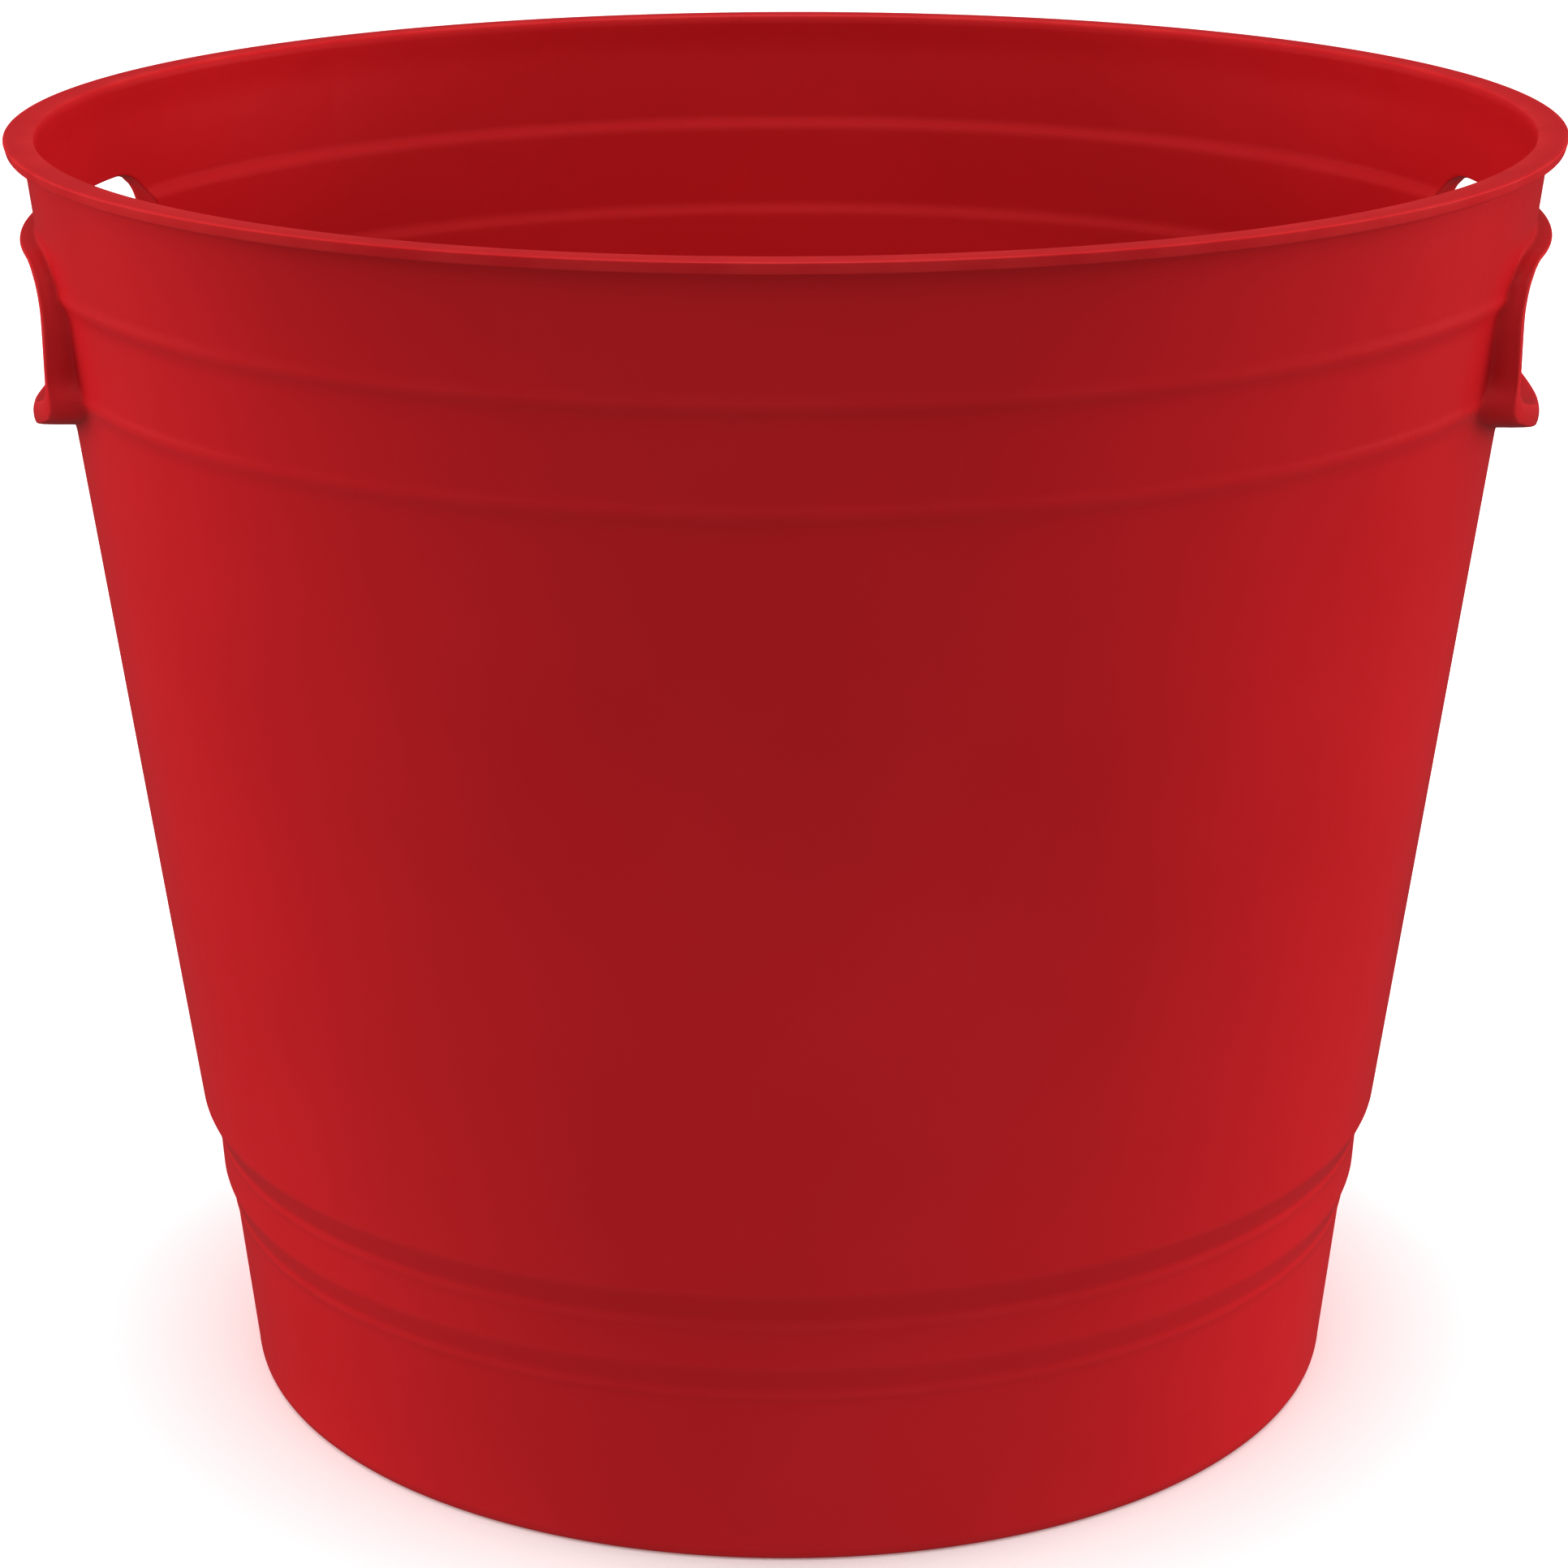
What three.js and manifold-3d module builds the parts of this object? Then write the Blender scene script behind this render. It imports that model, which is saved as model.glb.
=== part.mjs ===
import * as THREE from 'three';
import { mergeVertices } from 'three/addons/utils/BufferGeometryUtils.js';
import Module from 'manifold-3d';

// Sand bucket, injection moulded in one piece of red polypropylene. Every mesh is one named
// region of that moulding: rim, wall bands, floor, foot ring and the parts of the two hand holds.
// Millimetres, +Z up. The origin is the centre of the base, on the surface that it stands on,
// and the hand holds are on -X and +X.

// Driving dimensions
const HEIGHT = 237;
const RIM_RADIUS = 140;
const RIM_THICKNESS = 2;
const RIM_EDGE_ROUND = 0.6;
const WALL_THICKNESS = 1.7;
const INNER_LEDGE_LIFT = 1.2;      // the inside of a ledge lies this much above its outside
const FOOT_HEIGHT = 3;
const FOOT_RING_INNER_RADIUS = 100.2;
const FOOT_FACE_RADIUS = 102.7;
const FOOT_ROUND_DEGREES = [-90, -60, -30, 0];   // corners of the foot's rounded outside
const FLOOR_THICKNESS = 1.8;
const GATE_NUB_RADIUS = 4;
const GATE_NUB_HEIGHT = 1.4;
const GATE_NUB_TIP = 0.6;          // radius of its flat tip, as a share of its radius

// The outside of the wall, from the foot up. Between two bands the wall steps out over a ledge.
const BANDS = [
  { name: 'foot_wall', from: FOOT_HEIGHT, to: 33.6, lowRadius: 104.3, highRadius: 107.6 },
  { name: 'lower_band', from: 37.8, to: 47.8, lowRadius: 109.5, highRadius: 110.2 },
  { name: 'main_wall', from: 52.8, to: 194.2, lowRadius: 112.8, highRadius: 131.1 },
  { name: 'stacking_band', from: 196.3, to: 212, lowRadius: 131.6, highRadius: 133.7 },
  { name: 'upper_wall', from: 214.2, to: HEIGHT - RIM_THICKNESS, lowRadius: 134.2, highRadius: 136.7 },
];
const BANDS_WITH_HAND_HOLES = ['main_wall', 'stacking_band', 'upper_wall'];
const bandNamed = (name) => BANDS.find((band) => band.name === name);

// A hand hold is an oblong hole through the wall with a collar standing out around it.
const HOLE_HALF_WIDTH = 47.5;
const HOLE_TOP = 218.5;
const HOLE_BOTTOM = 187.5;
const HOLE_TOP_CORNER = 12;
const HOLE_LOW_CORNER = 7;
const SILL_ARC_RADIUS = 168;       // the sill curves up towards its two ends
const SHELF_THICKNESS = 2.5;
const SILL_THICKNESS = 4.5;
const CHEEK_THICKNESS = 4.8;
const SHELF_CUT = 204;             // the collar's shelf ends and its cheeks begin here
const SILL_CUT = 195;
const LIP_RADIUS_LOW = 137.7;
const LIP_RADIUS_MIDDLE = 137.3;
const LIP_RADIUS_HIGH = 138.8;

const GAP = 0.3;                   // left between a cut piece and its neighbour
const SEGMENTS = 72;
const CURVE_SEGMENTS = 6;
const CUTTER_REACH = 170;          // from the bucket's axis to well outside the collar

const wasm = await Module();
wasm.setup();

function redPlastic() {
  return new THREE.MeshStandardMaterial({ color: 0xd0222a, roughness: 0.36, metalness: 0 });
}

// Geometry to solid and back

function toSolid(geometry) {
  const bare = geometry.clone();
  bare.deleteAttribute('normal');
  bare.deleteAttribute('uv');
  const merged = mergeVertices(bare, 1e-3);
  const mesh = new wasm.Mesh({
    numProp: 3,
    vertProperties: new Float32Array(merged.attributes.position.array),
    triVerts: new Uint32Array(merged.index.array),
  });
  return new wasm.Manifold(mesh);
}

function toGeometry(solid) {
  const mesh = solid.getMesh();
  const geometry = new THREE.BufferGeometry();
  geometry.setAttribute('position', new THREE.BufferAttribute(mesh.vertProperties, 3));
  geometry.setIndex(new THREE.BufferAttribute(mesh.triVerts, 1));
  geometry.computeVertexNormals();
  return geometry;
}

// A solid of revolution about Z. The profile lists [radius, height] and closes on itself.
function revolve(profile) {
  const points = [...profile, profile[0]].map(([radius, z]) => new THREE.Vector2(radius, z));
  return new THREE.LatheGeometry(points, SEGMENTS).rotateX(Math.PI / 2);
}

// The wall's contours, as [radius, height] pairs from the foot up

const outerContour = BANDS.flatMap((band) => [
  [band.lowRadius, band.from],
  [band.highRadius, band.to],
]);
const innerContour = outerContour.map(([radius, z]) => [radius - WALL_THICKNESS, z + INNER_LEDGE_LIFT]);

function radiusAt(contour, z) {
  if (z <= contour[0][1]) return contour[0][0];
  for (let i = 1; i < contour.length; i += 1) {
    const [lowRadius, lowZ] = contour[i - 1];
    const [highRadius, highZ] = contour[i];
    if (z <= highZ) return lowRadius + (highRadius - lowRadius) * (z - lowZ) / (highZ - lowZ);
  }
  return contour[contour.length - 1][0];
}

function contourBetween(contour, low, high) {
  const inside = contour.filter(([, z]) => z > low && z < high);
  return [[radiusAt(contour, low), low], ...inside, [radiusAt(contour, high), high]];
}

function wallRing(low, high) {
  const inner = contourBetween(innerContour, low, high).reverse();
  return revolve([...contourBetween(outerContour, low, high), ...inner]);
}

// Hand holds: outlines in the YZ plane, extruded along X

function oblong(halfWidth, top, bottom, topCorner, lowCorner) {
  const arcCentre = bottom + SILL_ARC_RADIUS;
  const arcHeight = (y) => arcCentre - Math.sqrt(SILL_ARC_RADIUS ** 2 - y ** 2);
  const arcEnd = halfWidth - lowCorner;
  const halfAngle = Math.asin(arcEnd / SILL_ARC_RADIUS);
  const cornerZ = arcHeight(halfWidth);
  const shape = new THREE.Shape();
  shape.absarc(0, arcCentre, SILL_ARC_RADIUS, -Math.PI / 2 - halfAngle, -Math.PI / 2 + halfAngle, false);
  shape.quadraticCurveTo(halfWidth, cornerZ, halfWidth, cornerZ + lowCorner);
  shape.lineTo(halfWidth, top - topCorner);
  shape.absarc(halfWidth - topCorner, top - topCorner, topCorner, 0, Math.PI / 2, false);
  shape.lineTo(topCorner - halfWidth, top);
  shape.absarc(topCorner - halfWidth, top - topCorner, topCorner, Math.PI / 2, Math.PI, false);
  shape.lineTo(-halfWidth, cornerZ + lowCorner);
  shape.quadraticCurveTo(-halfWidth, cornerZ, -arcEnd, arcHeight(arcEnd));
  return shape;
}

// side is +1 for the hand hold on +X and -1 for the one on -X
function extrudeAlongX(shape, side) {
  const geometry = new THREE.ExtrudeGeometry(shape, {
    depth: CUTTER_REACH,
    bevelEnabled: false,
    curveSegments: CURVE_SEGMENTS,
  });
  const outward = new THREE.Vector3(side, 0, 0);
  const across = new THREE.Vector3(0, side, 0);
  const up = new THREE.Vector3(0, 0, 1);
  return toSolid(geometry.applyMatrix4(new THREE.Matrix4().makeBasis(across, up, outward)));
}

function handHole(side) {
  const outline = oblong(HOLE_HALF_WIDTH, HOLE_TOP, HOLE_BOTTOM, HOLE_TOP_CORNER, HOLE_LOW_CORNER);
  return extrudeAlongX(outline, side);
}

function collarBlank(side) {
  const outline = oblong(
    HOLE_HALF_WIDTH + CHEEK_THICKNESS,
    HOLE_TOP + SHELF_THICKNESS,
    HOLE_BOTTOM - SILL_THICKNESS,
    HOLE_TOP_CORNER + SHELF_THICKNESS,
    HOLE_LOW_CORNER,
  );
  return extrudeAlongX(outline, side).subtract(handHole(side));
}

// Everything inside the wall's outer face, with the gap added
function wallEnvelope() {
  const low = bandNamed('main_wall').from;
  const high = bandNamed('upper_wall').to;
  const face = contourBetween(outerContour, low, high).map(([radius, z]) => [radius + GAP, z]);
  return toSolid(revolve([[0, low], ...face, [0, high]]));
}

// Everything inside the collar's outer lip, which is a little hollow from top to bottom
function lipEnvelope() {
  const low = HOLE_BOTTOM - SILL_THICKNESS;
  const middle = (HOLE_TOP + HOLE_BOTTOM) / 2;
  const high = HOLE_TOP + SHELF_THICKNESS + GAP;
  return toSolid(revolve([
    [0, low - GAP],
    [LIP_RADIUS_LOW, low - GAP],
    [LIP_RADIUS_LOW, low + SILL_THICKNESS],
    [LIP_RADIUS_MIDDLE, middle],
    [LIP_RADIUS_HIGH, HOLE_TOP - SHELF_THICKNESS],
    [LIP_RADIUS_HIGH, high],
    [0, high],
  ]));
}

function slab(side, lowY, highY, lowZ, highZ) {
  const box = new THREE.BoxGeometry(CUTTER_REACH, highY - lowY, highZ - lowZ);
  box.translate(side * CUTTER_REACH / 2, (lowY + highY) / 2, (lowZ + highZ) / 2);
  return toSolid(box);
}

function handHoldPieces(side) {
  const sideName = side > 0 ? 'right' : 'left';
  const collar = collarBlank(side).subtract(wallEnvelope()).intersect(lipEnvelope());
  const reach = HOLE_HALF_WIDTH + 2 * CHEEK_THICKNESS;
  const cheekLow = SILL_CUT + GAP / 2;
  const cheekHigh = SHELF_CUT - GAP / 2;
  const cuts = {
    shelf: slab(side, -reach, reach, SHELF_CUT + GAP / 2, HEIGHT),
    front_cheek: slab(side, -reach, 0, cheekLow, cheekHigh),
    rear_cheek: slab(side, 0, reach, cheekLow, cheekHigh),
    sill: slab(side, -reach, reach, 0, SILL_CUT - GAP / 2),
  };
  return Object.entries(cuts).map(([piece, cut]) => ({
    name: `${sideName}_hand_hold_${piece}`,
    geometry: toGeometry(collar.intersect(cut)),
  }));
}

// Wall bands. The hand holes part the stacking band into a front and a rear arc.

function cutBandPieces(name, solid) {
  const arcs = solid.decompose();
  if (arcs.length === 1) return [{ name, geometry: toGeometry(solid) }];
  return arcs.map((arc) => {
    const sideName = arc.boundingBox().min[1] < -HOLE_HALF_WIDTH ? 'front' : 'rear';
    return { name: `${sideName}_${name}`, geometry: toGeometry(arc) };
  });
}

function wallBandPieces() {
  const holes = handHole(1).add(handHole(-1));
  return BANDS.flatMap((band, index) => {
    const high = index + 1 < BANDS.length ? BANDS[index + 1].from : band.to;
    const ring = wallRing(band.from, high);
    if (!BANDS_WITH_HAND_HOLES.includes(band.name)) return [{ name: band.name, geometry: ring }];
    return cutBandPieces(band.name, toSolid(ring).subtract(holes));
  });
}

// Rim, floor and foot

function rimFlange() {
  const low = HEIGHT - RIM_THICKNESS;
  const innerRadius = radiusAt(innerContour, low);
  return revolve([
    [innerRadius, low],
    [RIM_RADIUS - RIM_EDGE_ROUND, low],
    [RIM_RADIUS, low + RIM_EDGE_ROUND],
    [RIM_RADIUS, HEIGHT - RIM_EDGE_ROUND],
    [RIM_RADIUS - RIM_EDGE_ROUND, HEIGHT],
    [innerRadius + RIM_EDGE_ROUND, HEIGHT],
    [innerRadius, HEIGHT - RIM_EDGE_ROUND],
  ]);
}

function footRing() {
  const wallRadius = bandNamed('foot_wall').lowRadius;
  const roundX = wallRadius - FOOT_FACE_RADIUS;
  const round = FOOT_ROUND_DEGREES.map((degrees) => {
    const angle = THREE.MathUtils.degToRad(degrees);
    return [
      FOOT_FACE_RADIUS + roundX * Math.cos(angle),
      FOOT_HEIGHT + FOOT_HEIGHT * Math.sin(angle),
    ];
  });
  return revolve([[FOOT_RING_INNER_RADIUS, 0], ...round, [FOOT_RING_INNER_RADIUS, FOOT_HEIGHT]]);
}

function floorPanel() {
  const radius = innerContour[0][0];
  const top = FOOT_HEIGHT + FLOOR_THICKNESS;
  return revolve([[0, FOOT_HEIGHT], [radius, FOOT_HEIGHT], [radius, top], [0, top]]);
}

function gateNub() {
  const top = FOOT_HEIGHT;
  return revolve([
    [0, top - GATE_NUB_HEIGHT],
    [GATE_NUB_RADIUS * GATE_NUB_TIP, top - GATE_NUB_HEIGHT],
    [GATE_NUB_RADIUS, top],
    [0, top],
  ]);
}

const pieces = [
  { name: 'rim_flange', geometry: rimFlange() },
  ...wallBandPieces(),
  { name: 'floor_panel', geometry: floorPanel() },
  { name: 'foot_ring', geometry: footRing() },
  { name: 'gate_nub', geometry: gateNub() },
  ...handHoldPieces(1),
  ...handHoldPieces(-1),
];

const group = new THREE.Group();
for (const { name, geometry } of pieces) {
  const mesh = new THREE.Mesh(geometry, redPlastic());
  mesh.name = name;
  group.add(mesh);
}

export default group;
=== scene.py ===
import math

import bmesh
import bpy
import numpy as np
from mathutils import Matrix, Vector


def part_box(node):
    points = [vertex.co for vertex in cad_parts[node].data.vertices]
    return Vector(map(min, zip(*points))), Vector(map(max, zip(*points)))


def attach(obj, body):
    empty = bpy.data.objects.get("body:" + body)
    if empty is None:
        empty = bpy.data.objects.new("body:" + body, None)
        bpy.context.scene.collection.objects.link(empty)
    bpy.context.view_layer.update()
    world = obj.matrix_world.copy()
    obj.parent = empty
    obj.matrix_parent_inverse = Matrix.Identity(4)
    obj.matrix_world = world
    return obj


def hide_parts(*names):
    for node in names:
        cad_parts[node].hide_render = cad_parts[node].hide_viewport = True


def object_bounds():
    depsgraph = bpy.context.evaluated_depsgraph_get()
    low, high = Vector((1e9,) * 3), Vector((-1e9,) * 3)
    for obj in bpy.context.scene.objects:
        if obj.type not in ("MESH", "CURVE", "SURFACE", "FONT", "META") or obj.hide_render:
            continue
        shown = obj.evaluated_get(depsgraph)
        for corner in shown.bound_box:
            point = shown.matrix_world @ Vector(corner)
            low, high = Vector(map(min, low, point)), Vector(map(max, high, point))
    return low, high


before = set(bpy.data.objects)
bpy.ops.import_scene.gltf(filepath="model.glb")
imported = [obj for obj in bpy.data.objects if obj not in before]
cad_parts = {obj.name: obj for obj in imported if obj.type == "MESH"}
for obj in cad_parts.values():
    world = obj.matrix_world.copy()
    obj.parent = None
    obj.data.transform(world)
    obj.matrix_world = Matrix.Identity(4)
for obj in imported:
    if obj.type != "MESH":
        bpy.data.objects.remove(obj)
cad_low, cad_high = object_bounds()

# Sand bucket: one seamless injection moulding of red polypropylene. The mesh is worked out in
# millimetres, in the CAD's frame, and scaled to metres when the object is made.

MM = 0.001
HEIGHT = cad_high.z / MM
RIM_RADIUS = cad_high.x / MM

# Profile sizes, in mm
WALL_THICKNESS = 1.7
INNER_LEDGE_LIFT = 1.3
FLOOR_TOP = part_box("floor_panel")[1].z / MM
FLOOR_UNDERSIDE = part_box("floor_panel")[0].z / MM
FOOT_OUTER_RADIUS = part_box("foot_ring")[1].x / MM
FOOT_FACE = (100.2, 102.7)
NUB_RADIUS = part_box("gate_nub")[1].x / MM
NUB_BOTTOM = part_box("gate_nub")[0].z / MM
RIM_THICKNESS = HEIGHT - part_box("rim_flange")[0].z / MM
INNER_EDGE_ROUNDING = (0.7, 2.0)   # across and down, where the rim's top turns into the wall inside
INNER_EDGE_INSET = 0.5     # how far that corner stands in from the wall
UNDER_RIM_FILLET = 1.4
RIM_LOW_ROUND = 0.4        # radii that the rim's outer edge is rounded with
RIM_TOP_ROUND = 0.25
RIM_EDGE_BULGE = 0.35      # how much further out the rounded top stands than the low one
FLOOR_FILLET = 3.0
FOOT_INNER_ROUND = 0.6
LEDGE_SOFTNESS = 0.3       # how far a ledge's corners are rounded
SHARP_CURVATURE = 1.2      # an edge that turns this fast, in radians per mm, wears fully and gets the full painted highlight

# Each ledge of the wall: the CAD band that ends at its top, how far below that it starts, its height
# outside and inside, how far the wall steps in under it, and the bead along it outside (the height
# of the bead's middle from the CAD band's top, how far it swells and its width)
LEDGES = [
    ("foot_wall", -1.7, 5.0, 4.2, 1.8, (-4.2, 0.30, 0.8)),
    ("lower_band", -1.7, 5.8, 5.0, 2.7, (-5.0, 0.30, 0.8)),
    ("main_wall", 1.0, 2.6, 1.5, 0.75, (-0.6, 0.30, 0.8)),
    ("front_stacking_band", 1.0, 2.4, 1.5, 0.95, (-0.6, 0.30, 0.8)),
]

# Grid sizes
COLUMNS = 320
FINE_ROW = 0.55
COARSE_ROW = 9.0
HAND_HOLD_ROW = 0.9

# Hand holds. Widths are measured round the wall at REFERENCE_RADIUS.
REFERENCE_RADIUS = 137.0
BLOCK_COLUMNS = 19         # columns on each side of a hand hold's middle that its hole takes out
SILL_ARC_RADIUS = 168.0
FLARE_REACH = 2.2          # how far up the cheeks the flare at their feet reaches
COLLAR_STEPS = 4           # loops made for each row of the table below
WARP_SIDE = 30.0           # how far the grid is drawn towards the collar
WARP_BELOW = 24.0

# From the wall outside, over the collar's lip and through to the wall inside: half width, top,
# bottom, top corner, low corner, flare at the low corner, how much the cheeks lean in downwards,
# share of outer wall, of lip, of inner wall, radius added
COLLAR = np.array([
    (57.0, 221.7, 182.3, 13.5, 3.4, 5.6, 2.4, 1.0, 0.0, 0.0, 0.00),
    (55.9, 221.0, 182.9, 13.0, 3.2, 5.0, 2.3, 1.0, 0.0, 0.0, 0.08),
    (55.3, 220.4, 183.3, 12.5, 3.0, 4.0, 2.0, 1.0, 0.0, 0.0, 0.40),
    (54.8, 220.0, 183.5, 12.0, 3.0, 2.3, 1.2, 0.5, 0.5, 0.0, 0.00),
    (54.2, 219.7, 183.8, 11.5, 3.4, 0.9, 0.5, 0.0, 1.0, 0.0, -0.75),
    (53.95, 219.5, 184.3, 11.2, 4.0, 0.4, 0.2, 0.0, 1.0, 0.0, -0.22),
    (53.5, 219.25, 185.2, 10.8, 4.5, 0.0, 0.0, 0.0, 1.0, 0.0, -0.02),
    (52.5, 219.0, 186.3, 10.0, 4.0, 0.0, 0.0, 0.0, 1.0, 0.0, 0.00),
    (51.6, 218.8, 187.4, 9.2, 4.0, 0.0, 0.0, 0.0, 1.0, 0.0, -0.25),
    (51.15, 218.6, 187.9, 8.8, 4.0, 0.0, 0.0, 0.0, 1.0, 0.0, -0.90),
    (51.2, 219.0, 187.8, 11.0, 4.5, 0.0, 0.0, 0.0, 0.45, 0.55, 0.00),
    (51.3, 219.7, 187.5, 14.0, 5.0, 0.0, 0.0, 0.0, 0.0, 1.0, 0.60),
    (51.45, 219.85, 187.35, 14.6, 5.2, 0.0, 0.0, 0.0, 0.0, 1.0, 0.15),
    (52.0, 220.3, 186.9, 15.0, 6.0, 0.0, 0.0, 0.0, 0.0, 1.0, 0.00),
])
OUTLINE_VALUES = 7


# ---------------------------------------------------------------- profile

def ledge_corners(inside):
    """(radius, height) of the wall's corners from the foot up, ledge by ledge, on the outer radii."""
    corners = [(FOOT_OUTER_RADIUS, FLOOR_UNDERSIDE)]
    for node, drop, outer_height, inner_height, inset, _ in LEDGES:
        low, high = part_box(node)
        radius = max(high.y, -low.y) / MM
        top = high.z / MM - (0 if inside else drop)
        height = inner_height if inside else outer_height
        corners += [(radius - inset, top - height), (radius, top)]
    wall_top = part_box("upper_wall")[1]
    corners.append((wall_top.y / MM, wall_top.z / MM))
    return corners


def smoothed(corners, beads=()):
    """The line through the corners as a fine table of (height, radius), with its corners rounded."""
    radii, heights = zip(*corners)
    step = 0.05
    z = np.arange(heights[0], heights[-1], step)
    r = np.interp(z, heights, radii)
    for middle, height, width in beads:
        r += height * np.exp(-(((z - middle) / width) ** 2))
    reach = int(3 * LEDGE_SOFTNESS / step)
    kernel = np.exp(-0.5 * ((np.arange(-reach, reach + 1) * step) / LEDGE_SOFTNESS) ** 2)
    padded = np.concatenate([
        r[0] + (np.arange(-reach, 0)) * (r[1] - r[0]),
        r,
        r[-1] + np.arange(1, reach + 1) * (r[-1] - r[-2]),
    ])
    return z, np.convolve(padded, kernel / kernel.sum(), mode="valid")


LEDGE_TOPS = [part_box(ledge[0])[1].z / MM for ledge in LEDGES]
BEADS = [(top + ledge[-1][0], *ledge[-1][1:]) for top, ledge in zip(LEDGE_TOPS, LEDGES)]
OUTER = smoothed(ledge_corners(False), BEADS)
INNER = smoothed([(r - WALL_THICKNESS, z + INNER_LEDGE_LIFT) for r, z in ledge_corners(True)])


def outer_radius(z):
    return np.interp(z, *OUTER)


def inner_radius(z):
    return np.interp(z, *INNER)


def lip_radius(z):
    """The collar's outer lip: almost upright, and flicked outwards under the shelf."""
    t = (z - 200.0) / 19.0
    return 137.4 + 0.1 * t + 0.45 * np.maximum(t, 0.0) ** 4


def arc(centre_r, centre_z, radius, start, end, steps):
    angles = np.radians(np.linspace(start, end, steps + 1))
    return [(centre_r + radius * math.cos(a), centre_z + radius * math.sin(a)) for a in angles]


def wall_rows(low, high, ledge_lift, block):
    """Heights of the wall's rows from low to high: fine at each ledge, even across the hand holds."""
    rows = [low]
    spans = [(top + ledge_lift - ledge[1] - ledge[2] - 2.0, top + ledge_lift + 2.0)
             for top, ledge in zip(LEDGE_TOPS, LEDGES)]
    while rows[-1] < high:
        z = rows[-1]
        away = min(max(first - z, z - last, 0) for first, last in spans)
        rows.append(z + min(COARSE_ROW, FINE_ROW + 0.45 * away))
    rows[-1] = high
    below = [z for z in rows if z < block[0] - 0.4]
    above = [z for z in rows if z > block[-1] + 0.4]
    return below + list(block) + above


# ---------------------------------------------------------------- hand hold outlines

class Outline:
    """One loop round a hand hold: an oblong whose lower edge curves up towards its ends."""

    def __init__(self, half_width, top, bottom, top_corner, low_corner, flare, lean):
        self.half_width, self.top, self.bottom = half_width, top, bottom
        middle_s, middle_z = half_width - top_corner, top - top_corner
        a = np.radians(np.linspace(45, 90, 12))
        upper_s = middle_s + top_corner * np.cos(a)
        upper_z = middle_z + top_corner * np.sin(a)
        self.upper = (np.append(upper_s, 0.0)[::-1], np.append(upper_z, top)[::-1])
        low_half_width = half_width + flare - lean
        start = np.array([low_half_width - low_corner, self.lower_edge(low_half_width - low_corner)])
        turn = np.array([low_half_width, self.lower_edge(low_half_width)])
        end = turn + (0.0, low_corner)
        t = np.linspace(0, 1, 25)[:, None]
        corner = (1 - t) ** 2 * start + 2 * t * (1 - t) * turn + t ** 2 * end
        half = len(t) // 2
        s = np.linspace(0, start[0], 30)
        self.lower = (
            np.concatenate([s, corner[1:half + 1, 0]]),
            np.concatenate([self.lower_edge(s), corner[1:half + 1, 1]]),
        )
        cheek_z = np.linspace(end[1], middle_z, 30)[1:]
        cheek_s = half_width + flare * np.exp(-(((cheek_z - end[1]) / FLARE_REACH) ** 2))
        cheek_s -= lean * (middle_z - cheek_z) / (middle_z - end[1])
        a = np.radians(np.linspace(0, 45, 12))[1:]
        self.side = (
            np.concatenate([corner[half:, 0], cheek_s, middle_s + top_corner * np.cos(a)]),
            np.concatenate([corner[half:, 1], cheek_z, middle_z + top_corner * np.sin(a)]),
        )

    def lower_edge(self, s):
        return self.bottom + SILL_ARC_RADIUS - np.sqrt(SILL_ARC_RADIUS ** 2 - np.square(s))

    def side_ends(self):
        return self.side[1][0], self.side[1][-1]

    def round_trip(self, across, up):
        """Points all the way round, from the low -s corner up, over the top, down and back.
        across runs from -1 to 1 and up from 0 to 1."""
        low, high = self.side_ends()
        side_z = low + up * (high - low)
        side_s = np.interp(side_z, self.side[1], self.side[0])
        top_s = across * self.upper[0][-1]
        top_z = np.interp(np.abs(top_s), *self.upper)
        low_s = across * self.lower[0][-1]
        low_z = np.interp(np.abs(low_s), *self.lower)
        s = np.concatenate([-side_s, top_s[1:-1], side_s[::-1], low_s[1:-1][::-1]])
        z = np.concatenate([side_z, top_z[1:-1], side_z[::-1], low_z[1:-1][::-1]])
        return s, z


def catmull_rom(table, steps):
    """The table's rows with steps - 1 smooth rows put between each two."""
    padded = np.vstack([2 * table[0] - table[1], table, 2 * table[-1] - table[-2]])
    rows = []
    for i in range(len(table) - 1):
        a, b, c, d = padded[i:i + 4]
        for t in np.arange(steps) / steps:
            rows.append(0.5 * (2 * b + (c - a) * t + (2 * a - 5 * b + 4 * c - d) * t ** 2
                               + (3 * b - a - 3 * c + d) * t ** 3))
    rows.append(table[-1])
    return np.array(rows)


COLLAR_LOOPS = catmull_rom(COLLAR, COLLAR_STEPS)
OUTSIDE_LOOP = Outline(*COLLAR_LOOPS[0][:OUTLINE_VALUES])
INSIDE_LOOP = Outline(*COLLAR_LOOPS[-1][:OUTLINE_VALUES])


# ---------------------------------------------------------------- the shell's grid

def block_heights(outline):
    """Row heights across a hand hold on the wall that the outline lies on."""
    low, high = OUTSIDE_LOOP.side_ends()
    count = round((high - low) / HAND_HOLD_ROW)
    share = np.linspace(0, 1, count + 1)
    low, high = outline.side_ends()
    return low + share * (high - low)


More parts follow.
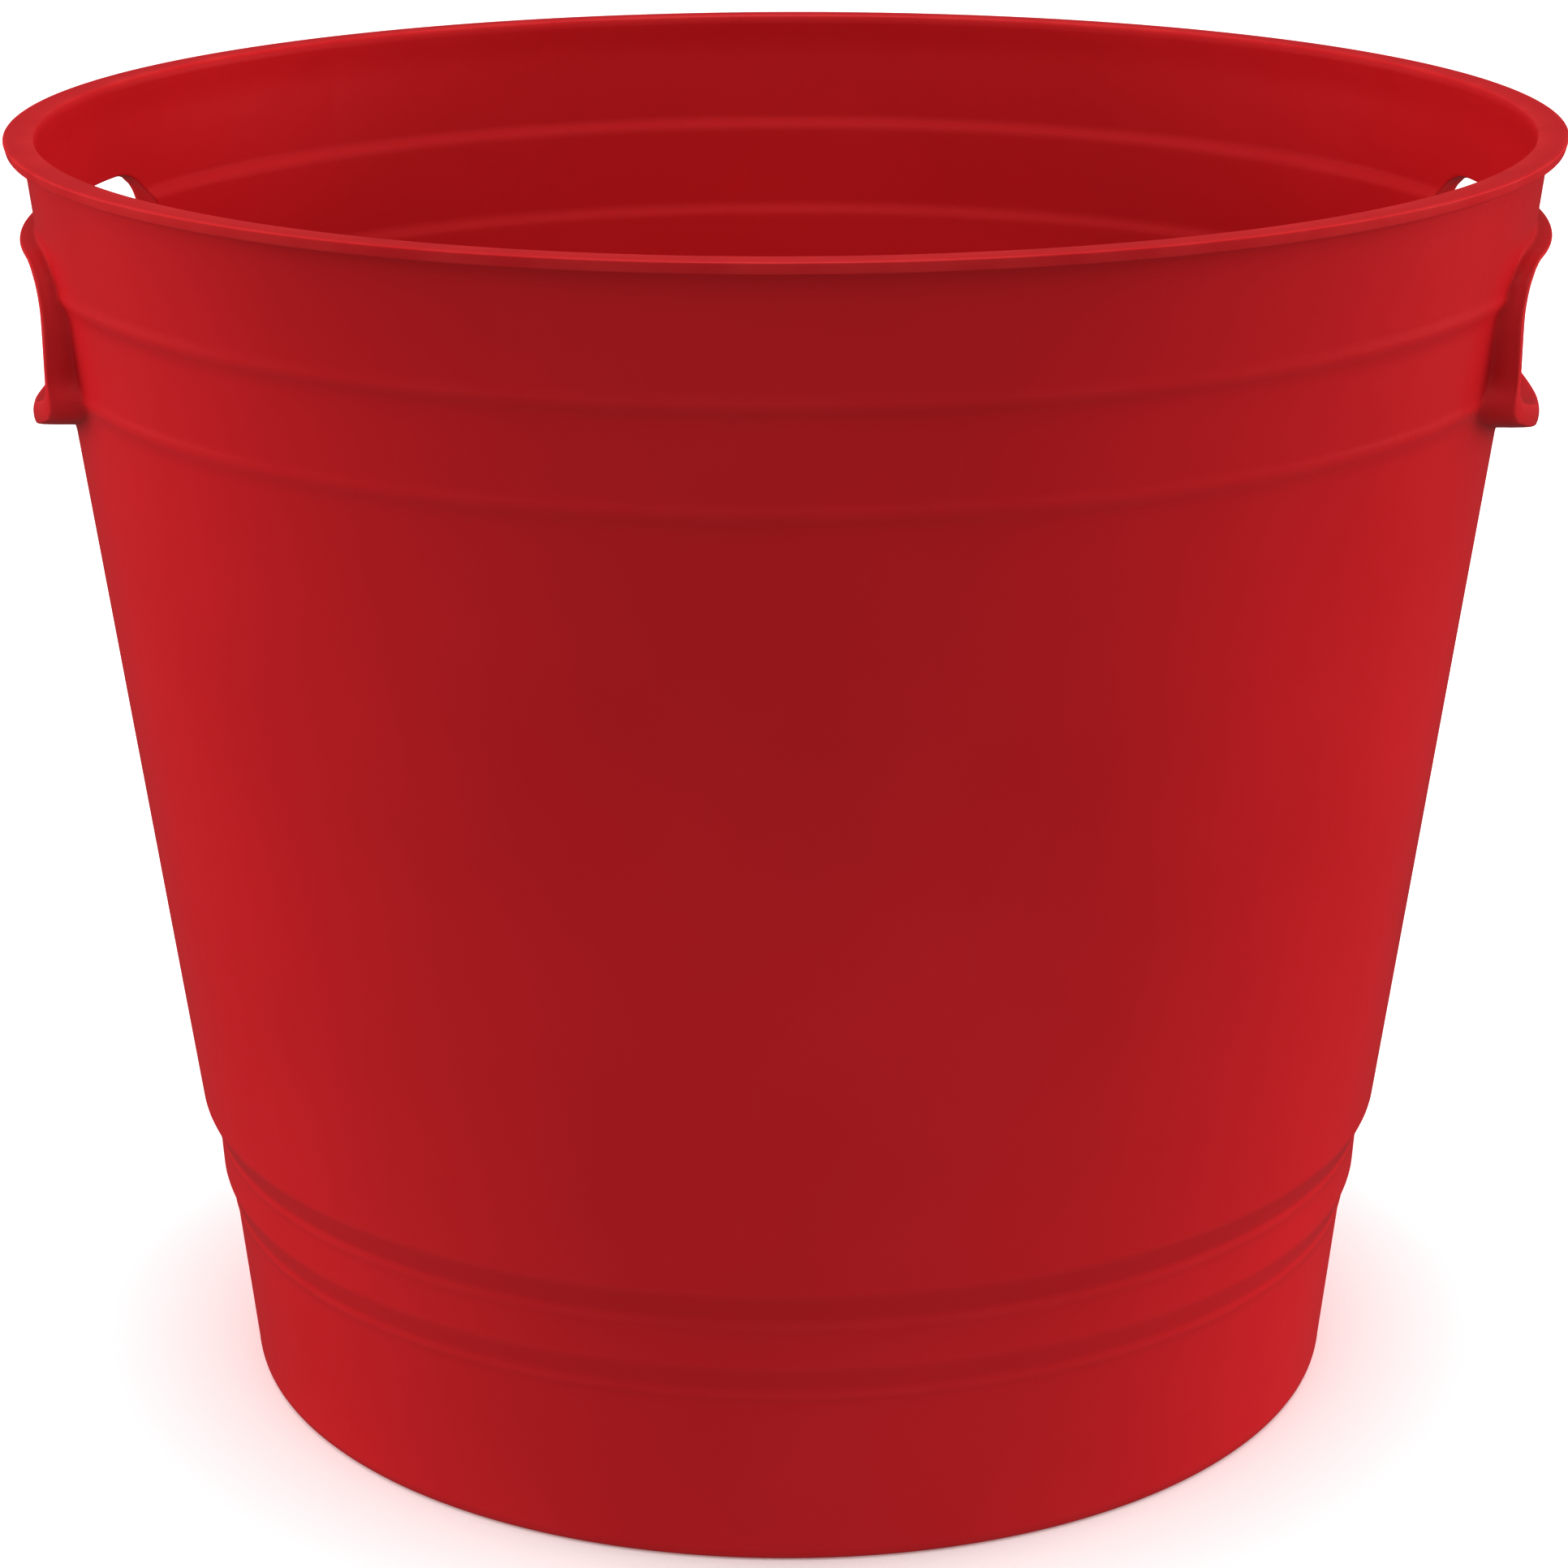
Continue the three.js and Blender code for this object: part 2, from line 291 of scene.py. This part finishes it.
def profile():
    """The section as (radius, height) rows from the underside's middle, up the outside, over the
    rim and down the inside to the floor's middle, and the first and last wall rows of each side."""
    foot_in, foot_out = FOOT_FACE
    rows = [(0.0, NUB_BOTTOM), (0.5 * NUB_RADIUS, NUB_BOTTOM), (0.62 * NUB_RADIUS, NUB_BOTTOM + 0.1)]
    rows += [(0.95 * NUB_RADIUS, FLOOR_UNDERSIDE - 0.2), (1.15 * NUB_RADIUS, FLOOR_UNDERSIDE)]
    rows += [(r, FLOOR_UNDERSIDE) for r in (20, 45, 70, 90, 97)]
    rows += arc(foot_in - 2.2, FLOOR_UNDERSIDE - 1.0, 1.0, 90, 0, 4)
    rows += arc(foot_in + 0.4, FOOT_INNER_ROUND, FOOT_INNER_ROUND, 180, 270, 4)
    rows += [(foot_in + 1.2, 0.0)]
    corner = FOOT_OUTER_RADIUS - foot_out
    rows += [(foot_out + corner * math.sin(a), FLOOR_UNDERSIDE * (1 - math.cos(a)))
             for a in np.radians(np.linspace(0, 80, 8))]
    rim_low = HEIGHT - RIM_THICKNESS
    outer_top = rim_low - UNDER_RIM_FILLET
    outer = wall_rows(FLOOR_UNDERSIDE + 0.3, outer_top, 0.0, block_heights(OUTSIDE_LOOP))
    outer_span = (len(rows), len(rows) + len(outer))
    rows += [(float(outer_radius(z)), z) for z in outer]
    wall_end = float(outer_radius(outer_top))
    rows += arc(wall_end + UNDER_RIM_FILLET, outer_top, UNDER_RIM_FILLET, 180, 90, 5)[1:]
    rows += [(RIM_RADIUS - 1.6, rim_low)]
    low_middle = RIM_RADIUS - RIM_LOW_ROUND - RIM_EDGE_BULGE
    rows += arc(low_middle, rim_low + RIM_LOW_ROUND, RIM_LOW_ROUND, -90, -12, 5)
    rows += arc(RIM_RADIUS - RIM_TOP_ROUND, HEIGHT - RIM_TOP_ROUND, RIM_TOP_ROUND, -12, 90, 5)
    wide, deep = INNER_EDGE_ROUNDING
    inner_edge = float(inner_radius(HEIGHT - deep)) - INNER_EDGE_INSET
    rows += [(RIM_RADIUS - 1.1, HEIGHT)]
    rows += [(inner_edge + wide * (1 - math.sin(a)), HEIGHT - deep * (1 - math.cos(a)))
             for a in np.radians(np.linspace(0, 84, 9))]
    inner_low = FLOOR_TOP + FLOOR_FILLET
    inner_high = HEIGHT - deep - 2.0
    inner = wall_rows(inner_low, inner_high, INNER_LEDGE_LIFT, block_heights(INSIDE_LOOP))[::-1]
    inner_span = (len(rows), len(rows) + len(inner))
    rows += [(float(inner_radius(z)), z) for z in inner]
    fillet = float(inner_radius(inner_low))
    rows += arc(fillet - FLOOR_FILLET, inner_low, FLOOR_FILLET, 0, -90, 7)[1:]
    rows += [(r, FLOOR_TOP) for r in (92, 70, 45, 20, 6)]
    rows += [(0.0, FLOOR_TOP)]
    return np.array(rows), outer_span, inner_span


def fade(distance, reach):
    return np.clip(1 - distance / reach, 0, 1) ** 2


def draw_to_loop(s, z, outline, block_s, up, room_above):
    """Moves the grid's points (s, z) round a hand hold so that the edge of its block of missing
    faces becomes the outline, and the rows and columns beyond it give way smoothly."""
    low, high = z[up[0]], z[up[1]]
    low_end, high_end = outline.side_ends()
    grid_s, grid_z = np.meshgrid(s, z)
    above, below = grid_z >= high, grid_z <= low
    beside = ~above & ~below
    sign = np.sign(grid_s)
    on_block = np.clip(grid_s, -block_s, block_s)
    side_z = low_end + (grid_z - low) / (high - low) * (high_end - low_end)
    side_s = sign * np.interp(side_z, outline.side[1], outline.side[0])
    top_s = on_block / block_s * outline.upper[0][-1]
    top_z = np.interp(np.abs(top_s), *outline.upper)
    low_s = on_block / block_s * outline.lower[0][-1]
    low_z = np.interp(np.abs(low_s), *outline.lower)
    move_s = np.where(beside, side_s, np.where(above, top_s, low_s)) - on_block
    move_z = np.where(beside, side_z - grid_z, np.where(above, top_z - high, low_z - low))
    share = fade(np.maximum(np.abs(grid_s) - block_s, 0), WARP_SIDE)
    share *= fade(np.maximum(grid_z - high, 0), room_above)
    share *= fade(np.maximum(low - grid_z, 0), WARP_BELOW)
    share[beside & (np.abs(grid_s) < block_s)] = 0
    return grid_s + move_s * share, grid_z + move_z * share


def shell_vertices(rows, outer_span, inner_span):
    """Angle, height and radius of every grid point, with both hand holds drawn in."""
    angle = np.tile(np.arange(COLUMNS) * 2 * math.pi / COLUMNS, (len(rows), 1))
    radius = np.tile(rows[:, :1], (1, COLUMNS))
    height = np.tile(rows[:, 1:], (1, COLUMNS))
    blocks = []
    for span, outline, radius_at in ((outer_span, OUTSIDE_LOOP, outer_radius),
                                     (inner_span, INSIDE_LOOP, inner_radius)):
        first, last = span
        z = rows[first:last, 1]
        ends = block_heights(outline)
        low_row = int(np.argmin(np.abs(z - ends[0])))
        high_row = int(np.argmin(np.abs(z - ends[-1])))
        blocks.append((first + low_row, first + high_row))
        room_above = abs(z.max() - ends[-1])
        half = COLUMNS // 4
        columns = np.arange(-half + 1, half)
        s = columns * 2 * math.pi / COLUMNS * REFERENCE_RADIUS
        block_s = BLOCK_COLUMNS * 2 * math.pi / COLUMNS * REFERENCE_RADIUS
        new_s, new_z = draw_to_loop(s, z, outline, block_s, (low_row, high_row), room_above)
        for middle in (0, COLUMNS // 2):
            at = (middle + columns) % COLUMNS
            patch = np.ix_(range(first, last), at)
            angle[patch] = middle * 2 * math.pi / COLUMNS + new_s / REFERENCE_RADIUS
            height[patch] = new_z
            radius[patch] = radius_at(new_z)
    return angle, height, radius, blocks


def to_points(angle, height, radius):
    return np.stack([radius * np.cos(angle), radius * np.sin(angle), height], -1).reshape(-1, 3)


def block_edge(low_row, high_row, middle):
    """Grid (row, column) pairs round a block, in Outline.round_trip's order."""
    step = 1 if high_row > low_row else -1
    up = list(range(low_row, high_row + step, step))
    across = list(range(-BLOCK_COLUMNS, BLOCK_COLUMNS + 1))
    pairs = [(row, across[0]) for row in up]
    pairs += [(high_row, column) for column in across[1:-1]]
    pairs += [(row, across[-1]) for row in reversed(up)]
    pairs += [(low_row, column) for column in reversed(across[1:-1])]
    return [(row, (middle + column) % COLUMNS) for row, column in pairs]


def shell_faces(row_count, blocks):
    """Quads of the whole grid, without the blocks that the hand holds take out."""
    columns = np.arange(COLUMNS)
    following = (columns + 1) % COLUMNS
    keep = np.ones((row_count - 1, COLUMNS), bool)
    for low_row, high_row in blocks:
        first, last = sorted((low_row, high_row))
        for middle in (0, COLUMNS // 2):
            out = (middle + np.arange(-BLOCK_COLUMNS, BLOCK_COLUMNS)) % COLUMNS
            keep[np.ix_(range(first, last), out)] = False
    row = np.arange(row_count - 1)[:, None]
    quads = np.stack([
        row * COLUMNS + columns,
        row * COLUMNS + following,
        (row + 1) * COLUMNS + following,
        (row + 1) * COLUMNS + columns,
    ], -1)
    return quads[keep]


def collar(vertices, blocks, middle):
    """Adds the loops of one hand hold's collar between the outer and the inner wall."""
    outside = [row * COLUMNS + column for row, column in block_edge(*blocks[0], middle)]
    inside = [row * COLUMNS + column for row, column in block_edge(*blocks[1], middle)]
    across = np.linspace(-1, 1, 2 * BLOCK_COLUMNS + 1)
    up = np.linspace(0, 1, abs(blocks[0][1] - blocks[0][0]) + 1)
    loops = [np.array(outside)]
    start = len(vertices)
    made = []
    for row in COLLAR_LOOPS[1:-1]:
        s, z = Outline(*row[:OUTLINE_VALUES]).round_trip(across, up)
        wall, lip, inner, added = row[OUTLINE_VALUES:]
        radius = wall * outer_radius(z) + lip * lip_radius(z) + inner * inner_radius(z) + added
        angle = middle * 2 * math.pi / COLUMNS + s / REFERENCE_RADIUS
        made.append(to_points(angle, z, radius))
        loops.append(start + np.arange(len(s)))
        start += len(s)
    loops.append(np.array(inside))
    faces = []
    for near, far in zip(loops, loops[1:]):
        faces.append(np.stack([near, np.roll(near, -1), np.roll(far, -1), far], -1))
    return np.vstack([vertices, *made]), np.vstack(faces)


def make_mesh(name, vertices, faces):
    mesh = bpy.data.meshes.new(name)
    mesh.from_pydata((vertices * MM).tolist(), [], faces.tolist())
    mesh.validate()
    mesh.update()
    mesh.polygons.foreach_set("use_smooth", [True] * len(mesh.polygons))
    obj = bpy.data.objects.new(name, mesh)
    bpy.context.scene.collection.objects.link(obj)
    return obj


def bucket_shell():
    rows, outer_span, inner_span = profile()
    angle, height, radius, blocks = shell_vertices(rows, outer_span, inner_span)
    vertices = to_points(angle, height, radius)
    faces = [shell_faces(len(rows), blocks)]
    for middle in (0, COLUMNS // 2):
        vertices, added = collar(vertices, blocks, middle)
        faces.append(added)
    obj = make_mesh("bucket_shell", vertices, np.vstack(faces))
    clean(obj)
    mark_wear_and_highlight(obj.data)
    return obj


def mark_wear_and_highlight(mesh):
    """Stores on each point how sharp and convex the moulding is there, which is where it wears and
    where its colour is lightened as a painted highlight.
    """
    points = np.empty(3 * len(mesh.vertices))
    normals = np.empty(3 * len(mesh.vertices))
    ends = np.empty(2 * len(mesh.edges), int)
    mesh.vertices.foreach_get("co", points)
    mesh.vertices.foreach_get("normal", normals)
    mesh.edges.foreach_get("vertices", ends)
    points, normals, ends = points.reshape(-1, 3) / MM, normals.reshape(-1, 3), ends.reshape(-1, 2)
    step = points[ends[:, 1]] - points[ends[:, 0]]
    turn = normals[ends[:, 1]] - normals[ends[:, 0]]
    curvature = (step * turn).sum(1) / (step ** 2).sum(1)
    sharpest = np.zeros(len(points))
    np.maximum.at(sharpest, ends[:, 0], curvature)
    np.maximum.at(sharpest, ends[:, 1], curvature)
    wear_and_highlight = np.clip(sharpest / SHARP_CURVATURE, 0, 1)
    mesh.attributes.new("edge_wear_and_highlight", "FLOAT", "POINT").data.foreach_set("value", wear_and_highlight)


def clean(obj):
    """Welds the poles, drops unused points and turns every face outwards."""
    work = bmesh.new()
    work.from_mesh(obj.data)
    bmesh.ops.remove_doubles(work, verts=work.verts, dist=1e-6)
    loose = [v for v in work.verts if not v.link_faces]
    bmesh.ops.delete(work, geom=loose, context="VERTS")
    bmesh.ops.recalc_face_normals(work, faces=work.faces)
    work.to_mesh(obj.data)
    work.free()
    obj.data.update()


# ---------------------------------------------------------------- material

DEEP_RED = (0.61, 0.0190, 0.0260)
LIGHT_RED = (0.67, 0.0225, 0.0310)
# Paler red for convex edges: partly worn plastic, partly a painted highlight along the edges
WORN_AND_HIGHLIGHT_RED = (0.80, 0.060, 0.058)


def red_plastic():
    """Red polypropylene: pigment clouds, worn edges lightened also as a painted highlight, mould
    grain, faint draw marks and scuffs.
    """
    material = bpy.data.materials.new("red_plastic")
    material.use_nodes = True
    nodes, links = material.node_tree.nodes, material.node_tree.links
    shader = nodes["Principled BSDF"]
    shader.inputs["IOR"].default_value = 1.49
    shader.inputs["Specular IOR Level"].default_value = 0.25

    place = nodes.new("ShaderNodeTexCoord")

    def noise(scale, detail, stretch=None):
        texture = nodes.new("ShaderNodeTexNoise")
        texture.inputs["Scale"].default_value = scale
        texture.inputs["Detail"].default_value = detail
        if stretch is None:
            links.new(place.outputs["Object"], texture.inputs["Vector"])
            return texture.outputs["Fac"]
        mapping = nodes.new("ShaderNodeMapping")
        mapping.inputs["Scale"].default_value = stretch
        links.new(place.outputs["Object"], mapping.inputs["Vector"])
        links.new(mapping.outputs["Vector"], texture.inputs["Vector"])
        return texture.outputs["Fac"]

    def ramp(source, low, high, low_value, high_value):
        fit = nodes.new("ShaderNodeMapRange")
        fit.inputs["From Min"].default_value = low
        fit.inputs["From Max"].default_value = high
        fit.inputs["To Min"].default_value = low_value
        fit.inputs["To Max"].default_value = high_value
        links.new(source, fit.inputs["Value"])
        return fit.outputs["Result"]

    def combine(operation, a, b):
        result = nodes.new("ShaderNodeMath")
        result.operation = operation
        links.new(a, result.inputs[0])
        links.new(b, result.inputs[1])
        return result.outputs[0]

    def blend(factor, first, second):
        """Mixes two colours, each a socket or a fixed (r, g, b)."""
        mix = nodes.new("ShaderNodeMix")
        mix.data_type = "RGBA"
        links.new(factor, mix.inputs["Factor"])
        for name, value in (("A", first), ("B", second)):
            if isinstance(value, tuple):
                mix.inputs[name].default_value = (*value, 1)
            else:
                links.new(value, mix.inputs[name])
        return mix.outputs["Result"]

    # Convex edges are lightened: partly edge wear, partly a painted highlight along them; the same
    # mask also roughens them
    edges = nodes.new("ShaderNodeAttribute")
    edges.attribute_name = "edge_wear_and_highlight"
    patches = ramp(noise(90, 6), 0.35, 0.65, 0.15, 1.0)
    rubbed_and_highlit = combine("MULTIPLY", edges.outputs["Fac"], patches)

    clouds = ramp(noise(14, 4), 0.3, 0.7, 0, 1)
    pigment = blend(clouds, DEEP_RED, LIGHT_RED)
    worn_and_highlit = blend(ramp(rubbed_and_highlit, 0, 1, 0, 0.35), pigment, WORN_AND_HIGHLIGHT_RED)
    links.new(worn_and_highlit, shader.inputs["Base Color"])

    smudges = ramp(noise(22, 5), 0.35, 0.7, 0.30, 0.37)
    scuffs = ramp(noise(60, 8, (6, 6, 0.6)), 0.62, 0.8, 0.0, 0.10)
    marks = combine("ADD", smudges, scuffs)
    roughness = combine("ADD", marks, ramp(rubbed_and_highlit, 0, 1, 0, 0.12))
    links.new(roughness, shader.inputs["Roughness"])

    grain = nodes.new("ShaderNodeBump")
    grain.inputs["Strength"].default_value = 0.12
    grain.inputs["Distance"].default_value = 0.00012
    links.new(noise(1400, 3), grain.inputs["Height"])
    draw = nodes.new("ShaderNodeBump")
    draw.inputs["Strength"].default_value = 0.15
    draw.inputs["Distance"].default_value = 0.0003
    links.new(noise(70, 3, (3, 3, 0.35)), draw.inputs["Height"])
    links.new(grain.outputs["Normal"], draw.inputs["Normal"])
    links.new(draw.outputs["Normal"], shader.inputs["Normal"])
    return material


def pale_floor():
    material = bpy.data.materials.new("pale_floor")
    material.use_nodes = True
    shader = material.node_tree.nodes["Principled BSDF"]
    shader.inputs["Base Color"].default_value = (0.97, 0.97, 0.97, 1)
    shader.inputs["Roughness"].default_value = 0.9
    shader.inputs["Specular IOR Level"].default_value = 0.1
    shader.inputs["Emission Color"].default_value = (1, 1, 1, 1)
    shader.inputs["Emission Strength"].default_value = 0.15
    return material


# ---------------------------------------------------------------- stage, lights and camera

WORLD_BELOW = 0.32
WORLD_ABOVE = 0.90
TABLE_GLOW = 0.20
TABLE_GLOW_RADIUS = 0.35
MIRRORED_SURROUNDINGS = 0.09
OVERHEAD = 1.1

# Softboxes: name, degrees round from the front, power in watts
SOFTBOXES = [
    ("left_softbox", -100, 5.2),
    ("left_rear_softbox", -114, 6.4),
    ("right_softbox", 98, 4.2),
    ("right_rear_softbox", 115, 7.6),
]
SOFTBOX_DISTANCE = 1.25
SOFTBOX_HEIGHT = 0.26
SOFTBOX_SIZE = (0.9, 0.5)


def make_floor():
    bpy.ops.mesh.primitive_circle_add(vertices=128, radius=12, fill_type="NGON", location=(0, 0, 0))
    floor = bpy.context.object
    floor.name = "floor"
    floor.data.materials.append(pale_floor())
    floor.visible_diffuse = False
    floor.visible_glossy = False


def make_world():
    """White surroundings, brighter overhead, which are dim where the plastic mirrors them."""
    world = bpy.data.worlds.new("studio")
    bpy.context.scene.world = world
    world.use_nodes = True
    nodes, links = world.node_tree.nodes, world.node_tree.links
    direction = nodes.new("ShaderNodeTexCoord")
    split = nodes.new("ShaderNodeSeparateXYZ")
    links.new(direction.outputs["Generated"], split.inputs["Vector"])
    height = nodes.new("ShaderNodeMapRange")
    height.inputs["From Min"].default_value = -1
    height.inputs["From Max"].default_value = 1
    height.inputs["To Min"].default_value = WORLD_BELOW
    height.inputs["To Max"].default_value = WORLD_ABOVE
    links.new(split.outputs["Z"], height.inputs["Value"])
    ray = nodes.new("ShaderNodeLightPath")
    strength = nodes.new("ShaderNodeMapRange")
    links.new(height.outputs["Result"], strength.inputs["To Min"])
    strength.inputs["To Max"].default_value = MIRRORED_SURROUNDINGS
    links.new(ray.outputs["Is Glossy Ray"], strength.inputs["Value"])
    nodes["Background"].inputs["Color"].default_value = (1, 1, 1, 1)
    links.new(strength.outputs["Result"], nodes["Background"].inputs["Strength"])


def table_glow():
    """The light that a bright table sends back up at the bucket's foot."""
    data = bpy.data.lights.new("table_glow", "AREA")
    data.shape = "DISK"
    data.size = 2 * TABLE_GLOW_RADIUS
    data.energy = TABLE_GLOW
    light = bpy.data.objects.new("table_glow", data)
    light.location = (0, 0, 0.0005)
    light.rotation_euler = (math.pi, 0, 0)
    light.visible_glossy = False
    light.visible_camera = False
    bpy.context.scene.collection.objects.link(light)


def area_light(name, place, aim, width, height, power):
    data = bpy.data.lights.new(name, "AREA")
    data.shape = "RECTANGLE"
    data.size = width
    data.size_y = height
    data.energy = power
    light = bpy.data.objects.new(name, data)
    light.location = place
    light.rotation_euler = (Vector(aim) - Vector(place)).to_track_quat("-Z", "Y").to_euler()
    light.visible_glossy = False
    light.visible_camera = False
    bpy.context.scene.collection.objects.link(light)


def overhead_light():
    """A very soft light from straight above, which lights the floor evenly."""
    data = bpy.data.lights.new("overhead", "SUN")
    data.energy = OVERHEAD
    data.angle = math.radians(30)
    light = bpy.data.objects.new("overhead", data)
    light.rotation_euler = (math.radians(5), 0, 0)
    bpy.context.scene.collection.objects.link(light)


def make_lights():
    middle = (0, 0, 0.12)
    for name, degrees, power in SOFTBOXES:
        a = math.radians(degrees)
        place = (SOFTBOX_DISTANCE * math.sin(a), -SOFTBOX_DISTANCE * math.cos(a), SOFTBOX_HEIGHT)
        area_light(name, place, middle, *SOFTBOX_SIZE, power)
    overhead_light()
    table_glow()


CAMERA_PLACE = (0.11495, -5.48323, 0.8649)   # in rim radii, from the middle of the rim's plane
CAMERA_PITCH = 17.9389                       # degrees below level
CAMERA_YAW = 1.2482
CAMERA_ROLL = -0.1632
CAMERA_LENS = 97.17                          # mm, on a 36 mm sensor


def make_camera():
    rim = cad_high.x
    data = bpy.data.cameras.new("camera")
    data.lens = CAMERA_LENS
    data.sensor_width = 36
    camera = bpy.data.objects.new("camera", data)
    x, y, z = (rim * v for v in CAMERA_PLACE)
    turn = (Matrix.Rotation(math.radians(CAMERA_YAW), 4, "Z")
            @ Matrix.Rotation(math.radians(90 - CAMERA_PITCH), 4, "X")
            @ Matrix.Rotation(math.radians(CAMERA_ROLL), 4, "Z"))
    camera.matrix_world = Matrix.Translation((x, y, cad_high.z + z)) @ turn
    bpy.context.scene.collection.objects.link(camera)
    bpy.context.scene.camera = camera


# ---------------------------------------------------------------- the scene

make_camera()
shell = bucket_shell()
shell.data.materials.append(red_plastic())
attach(shell, "root")
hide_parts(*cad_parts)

make_floor()
make_world()
make_lights()
bpy.context.scene.view_settings.view_transform = "Standard"
bpy.context.scene.view_settings.gamma = 0.8
